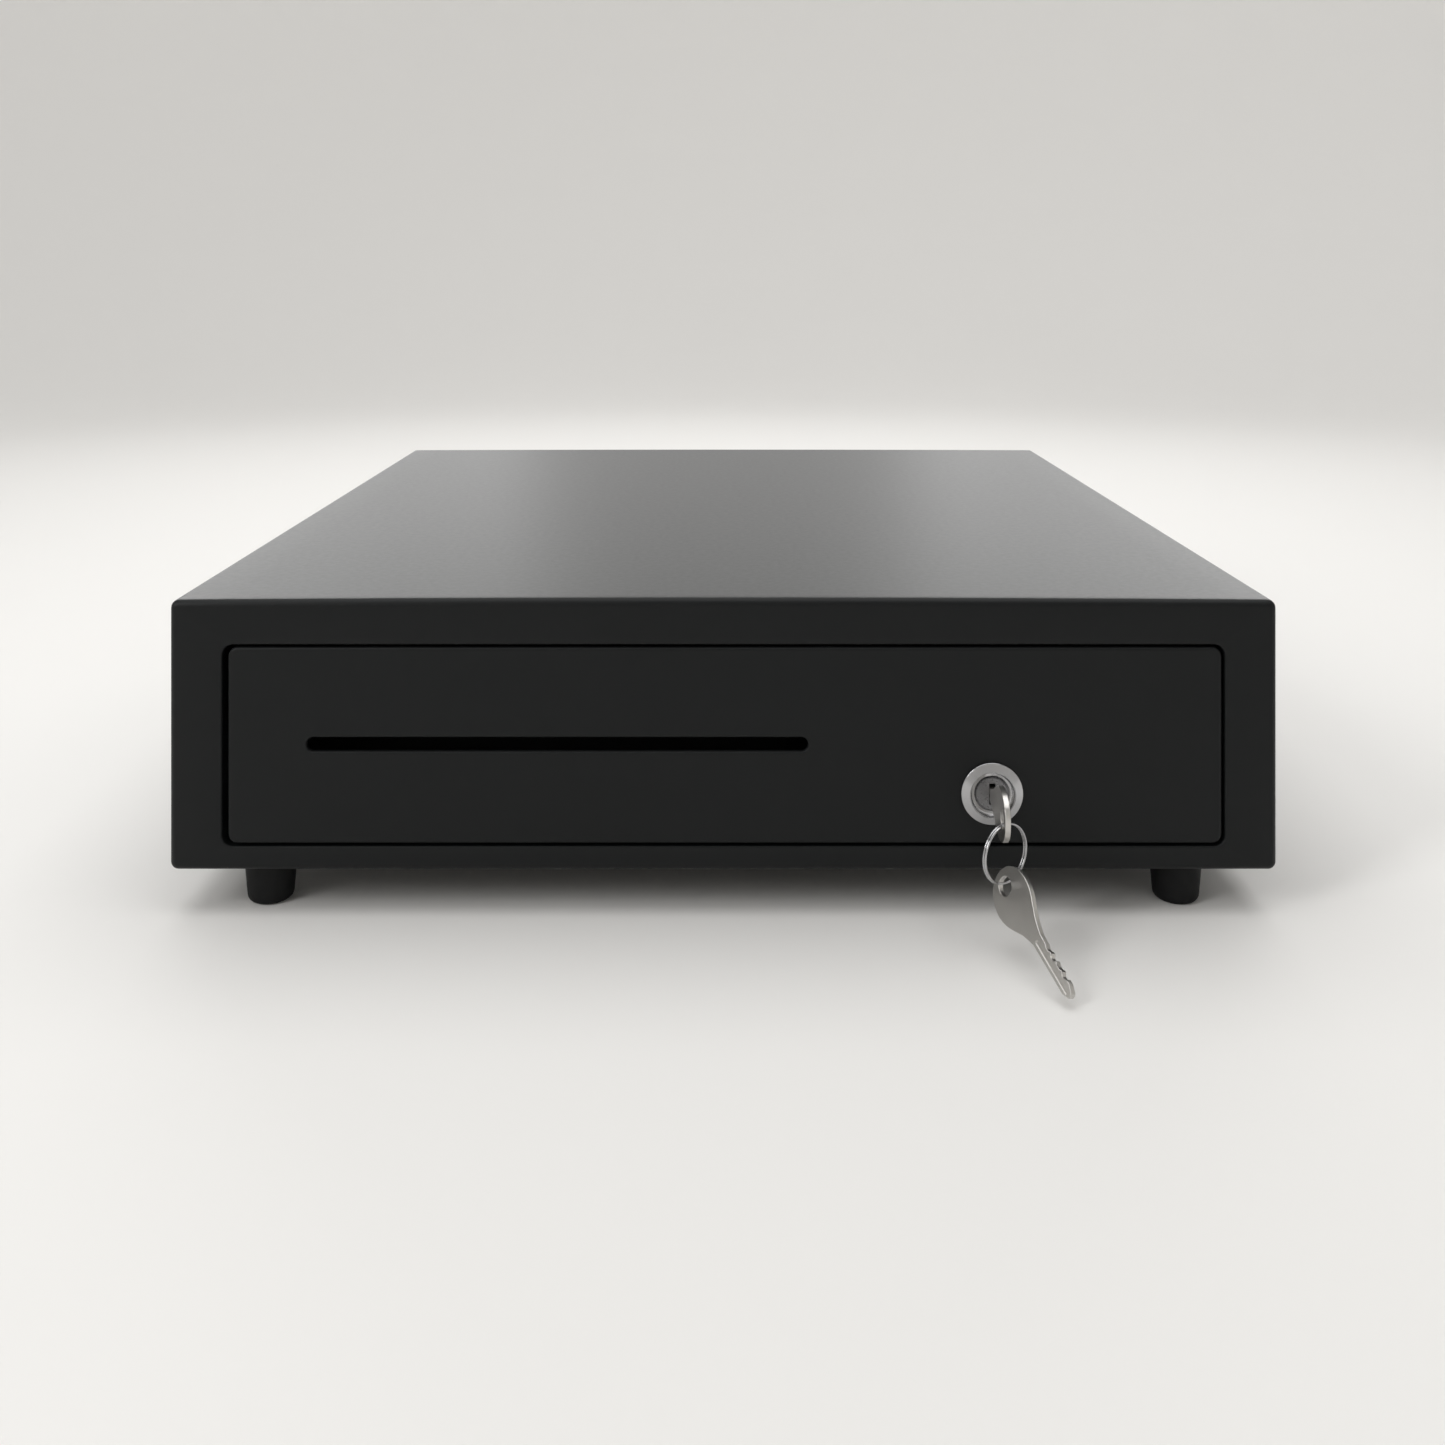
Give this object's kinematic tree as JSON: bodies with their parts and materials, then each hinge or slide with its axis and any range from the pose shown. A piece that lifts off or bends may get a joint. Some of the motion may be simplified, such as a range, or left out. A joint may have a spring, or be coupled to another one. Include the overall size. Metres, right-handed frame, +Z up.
{
  "type": "cash drawer",
  "caption": "Flat sheet steel cash drawer on rubber feet, with a lockable sliding till drawer, a media slot and keys on a ring.",
  "frame": {"origin": "on the table, under the middle of the whole outline with the hanging keys counted", "axes": "+Z up, -Y the way the drawer opens, +X to the right seen from the front"},
  "size_m": [0.413, 0.4813, 0.117],
  "materials": {
    "case_steel": "fine satin powder coat",
    "front_steel": "fine satin powder coat",
    "box_steel": "fine satin powder coat",
    "foot_rubber": "matt",
    "till_plastic": "fine grain",
    "clip_steel": "bright zinc",
    "bright_chrome": "polished",
    "key_nickel": "satin nickel",
    "black_plastic": "moulded",
    "button_red": "moulded",
    "contact_brass": "bright",
    "coil_copper": "enamelled wire",
    "wire_red": "smooth",
    "screw_zinc": "bright zinc",
    "cage_steel": "bright",
    "spring_steel": "bright",
    "zinc_steel": "bright zinc"
  },
  "bodies": {
    "case": {"case_cover": "case_steel", "base_plate": "case_steel", "rear_panel": "case_steel", "case_screws": "screw_zinc", "foot_front_left": "foot_rubber", "foot_front_right": "foot_rubber", "foot_rear_left": "foot_rubber", "foot_rear_right": "foot_rubber", "foot_screws": "screw_zinc", "rail_bracket_left": "zinc_steel", "rail_bracket_right": "zinc_steel", "outer_rail_left": "zinc_steel", "outer_rail_right": "zinc_steel", "rail_screws": "screw_zinc", "lock_keeper": "zinc_steel", "latch_bracket": "zinc_steel", "latch_pivot": "screw_zinc", "solenoid_frame": "zinc_steel", "solenoid_coil": "coil_copper", "bracket_screws": "screw_zinc", "cable_jack": "black_plastic", "jack_contacts": "contact_brass", "wiring": "wire_red", "switch_body": "black_plastic", "spring_post": "zinc_steel", "kick_spring": "spring_steel", "latch_spring": "spring_steel"},
    "drawer": {"drawer_box": "box_steel", "front_panel": "front_steel", "front_screws": "screw_zinc", "inner_rail_left": "zinc_steel", "inner_rail_right": "zinc_steel", "inner_rail_screws": "screw_zinc", "strike_plate": "zinc_steel", "till_tray": "till_plastic", "coin_tray": "till_plastic", "clip_rod": "bright_chrome", "clip_springs": "spring_steel", "lock_barrel": "bright_chrome", "lock_nut": "screw_zinc"},
    "middle_left": {"middle_rail_left": "zinc_steel"},
    "middle_right": {"middle_rail_right": "zinc_steel"},
    "outer_balls_left": {"outer_cage_left": "cage_steel"},
    "outer_balls_right": {"outer_cage_right": "cage_steel"},
    "inner_balls_left": {"inner_cage_left": "cage_steel"},
    "inner_balls_right": {"inner_cage_right": "cage_steel"},
    "hook": {"latch_hook": "zinc_steel"},
    "plunger": {"solenoid_plunger": "bright_chrome"},
    "button": {"switch_button": "button_red"},
    "clip_1": {"note_clip_1": "clip_steel"},
    "clip_2": {"note_clip_2": "clip_steel"},
    "clip_3": {"note_clip_3": "clip_steel"},
    "clip_4": {"note_clip_4": "clip_steel"},
    "clip_5": {"note_clip_5": "clip_steel"},
    "plug": {"lock_plug": "bright_chrome", "lock_cam": "zinc_steel"},
    "key": {"lock_key": "key_nickel"},
    "ring": {"key_ring": "bright_chrome"},
    "spare": {"spare_key": "key_nickel"}
  },
  "joints": [
    {"name": "drawer_slide", "type": "slide", "parent": "case", "child": "drawer", "axis": [0, -1, 0], "range_m": [0, 0.29]},
    {"name": "middle_left_slide", "type": "slide", "parent": "case", "child": "middle_left", "axis": [0, -1, 0], "range_m": [0, 0.145]},
    {"name": "middle_right_slide", "type": "slide", "parent": "case", "child": "middle_right", "axis": [0, -1, 0], "range_m": [0, 0.145]},
    {"name": "outer_balls_left_slide", "type": "slide", "parent": "case", "child": "outer_balls_left", "axis": [0, -1, 0], "range_m": [0, 0.0725]},
    {"name": "outer_balls_right_slide", "type": "slide", "parent": "case", "child": "outer_balls_right", "axis": [0, -1, 0], "range_m": [0, 0.0725]},
    {"name": "inner_balls_left_slide", "type": "slide", "parent": "case", "child": "inner_balls_left", "axis": [0, -1, 0], "range_m": [0, 0.2175]},
    {"name": "inner_balls_right_slide", "type": "slide", "parent": "case", "child": "inner_balls_right", "axis": [0, -1, 0], "range_m": [0, 0.2175]},
    {"name": "latch_turn", "type": "hinge", "parent": "case", "child": "hook", "pos_m": [-0.015, 0.21175, 0.044], "axis": [0, 0, 1], "range_deg": [0, 11], "stiffness_Nm_per_rad": 0.02},
    {"name": "plunger_slide", "type": "slide", "parent": "case", "child": "plunger", "axis": [-1, 0, 0], "range_m": [0, 0.0028]},
    {"name": "switch_press", "type": "slide", "parent": "case", "child": "button", "axis": [0, 1, 0], "range_m": [0, 0.001], "stiffness_N_per_m": 300, "springref_m": -0.001},
    {"name": "clip_1_lift", "type": "hinge", "parent": "drawer", "child": "clip_1", "pos_m": [-0.1364, 0.15375, 0.086], "axis": [-1, 0, 0], "range_deg": [0, 33], "stiffness_Nm_per_rad": 0.05, "springref_deg": -22.92},
    {"name": "clip_2_lift", "type": "hinge", "parent": "drawer", "child": "clip_2", "pos_m": [-0.0682, 0.15375, 0.086], "axis": [-1, 0, 0], "range_deg": [0, 33], "stiffness_Nm_per_rad": 0.05, "springref_deg": -22.92},
    {"name": "clip_3_lift", "type": "hinge", "parent": "drawer", "child": "clip_3", "pos_m": [0, 0.15375, 0.086], "axis": [-1, 0, 0], "range_deg": [0, 33], "stiffness_Nm_per_rad": 0.05, "springref_deg": -22.92},
    {"name": "clip_4_lift", "type": "hinge", "parent": "drawer", "child": "clip_4", "pos_m": [0.0682, 0.15375, 0.086], "axis": [-1, 0, 0], "range_deg": [0, 33], "stiffness_Nm_per_rad": 0.05, "springref_deg": -22.92},
    {"name": "clip_5_lift", "type": "hinge", "parent": "drawer", "child": "clip_5", "pos_m": [0.1364, 0.15375, 0.086], "axis": [-1, 0, 0], "range_deg": [0, 33], "stiffness_Nm_per_rad": 0.05, "springref_deg": -22.92},
    {"name": "plug_turn", "type": "hinge", "parent": "drawer", "child": "plug", "pos_m": [0.0992, -0.17625, 0.046], "axis": [0, 1, 0], "range_deg": [0, 90]},
    {"name": "key_pull", "type": "slide", "parent": "plug", "child": "key", "axis": [0, -1, 0], "range_m": [0, 0.026]},
    {"name": "ring_swing", "type": "hinge", "parent": "key", "child": "ring", "pos_m": [0.0992, -0.20125, 0.0443], "axis": [-1, 0, 0], "range_deg": [0, 30]},
    {"name": "spare_swing", "type": "hinge", "parent": "ring", "child": "spare", "pos_m": [0.0992, -0.20125, 0.0236], "axis": [-0.8089, -0.5879, 0], "range_deg": [0, 25]}
  ],
  "couplings": [
    {"joint": "middle_left_slide", "follows": "drawer_slide", "ratio": 0.5},
    {"joint": "middle_right_slide", "follows": "drawer_slide", "ratio": 0.5},
    {"joint": "outer_balls_left_slide", "follows": "drawer_slide", "ratio": 0.25},
    {"joint": "outer_balls_right_slide", "follows": "drawer_slide", "ratio": 0.25},
    {"joint": "inner_balls_left_slide", "follows": "drawer_slide", "ratio": 0.75},
    {"joint": "inner_balls_right_slide", "follows": "drawer_slide", "ratio": 0.75},
    {"joint": "plunger_slide", "follows": "latch_turn", "m_per_rad": 0.014}
  ]
}
